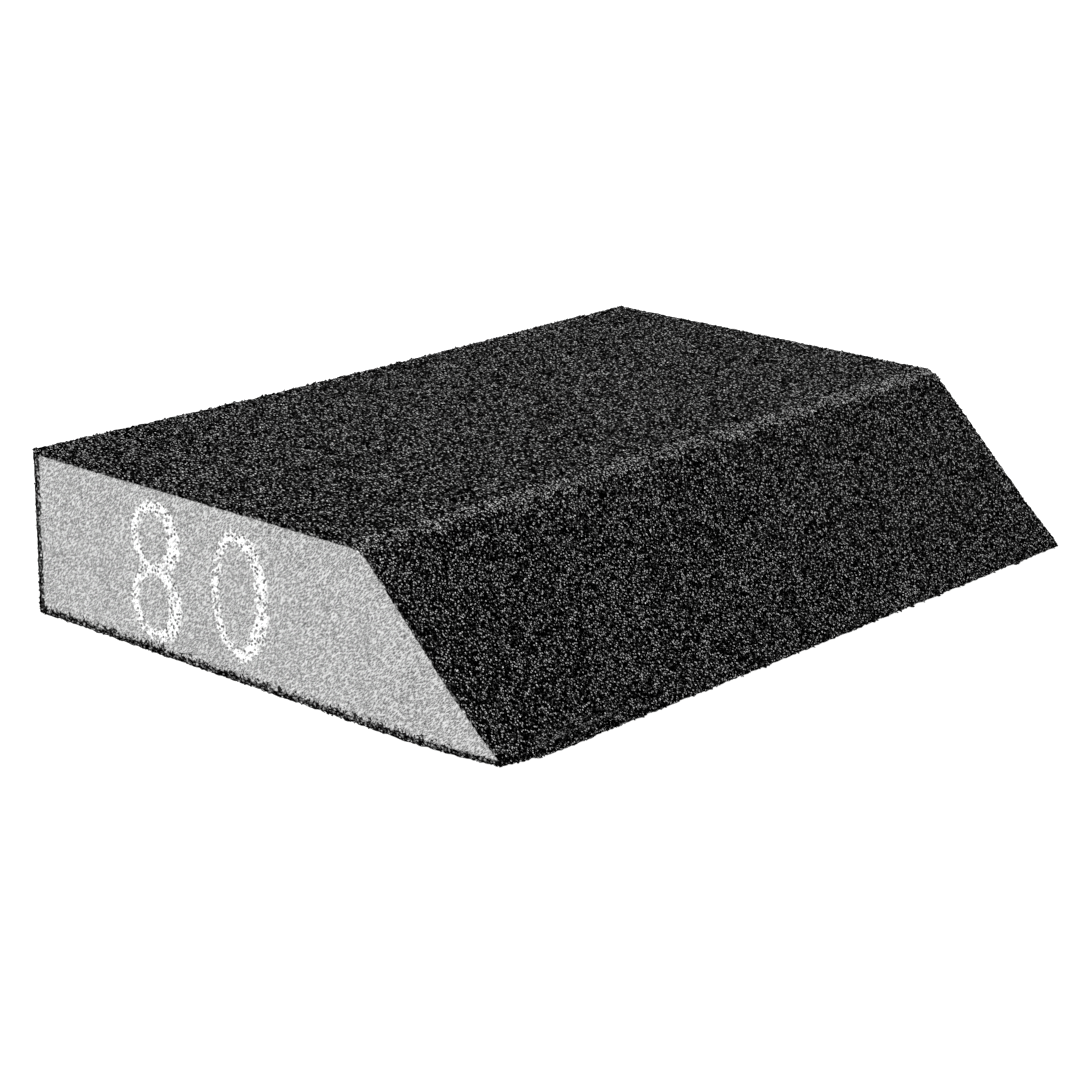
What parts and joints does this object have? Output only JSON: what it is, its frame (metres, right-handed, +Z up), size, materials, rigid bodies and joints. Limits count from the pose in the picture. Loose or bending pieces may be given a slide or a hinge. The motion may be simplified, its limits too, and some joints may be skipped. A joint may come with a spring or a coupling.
{
  "type": "sanding block",
  "caption": "Wedge-fronted foam sanding block with a square back, coated with abrasive grit on its four long faces and bare foam ends, one printed with its grade.",
  "frame": {"origin": "on the sole, under the middle of the block's overall box", "axes": "+X along the block's length, away from the printed end; +Y across it, towards the upright back, so the sloping face looks towards -Y; +Z up, from the sole to the top face"},
  "size_m": [0.125, 0.0868, 0.024],
  "materials": {
    "foam": "matt fine-celled cut foam, light grey",
    "bond_resin": "flexible black adhesive soaked into the foam's skin",
    "abrasive_grit": "coarse black bonded grains with bright facets",
    "print_ink": "thin matt white ink, broken over the open cells"
  },
  "bodies": {
    "root": {"foam_core": "foam", "top_bond_coat": "bond_resin", "slope_bond_coat": "bond_resin", "sole_bond_coat": "bond_resin", "back_bond_coat": "bond_resin", "top_grit_coat": "abrasive_grit", "slope_grit_coat": "abrasive_grit", "sole_grit_coat": "abrasive_grit", "back_grit_coat": "abrasive_grit", "printed_eight": "print_ink", "printed_zero": "print_ink"}
  },
  "joints": []
}
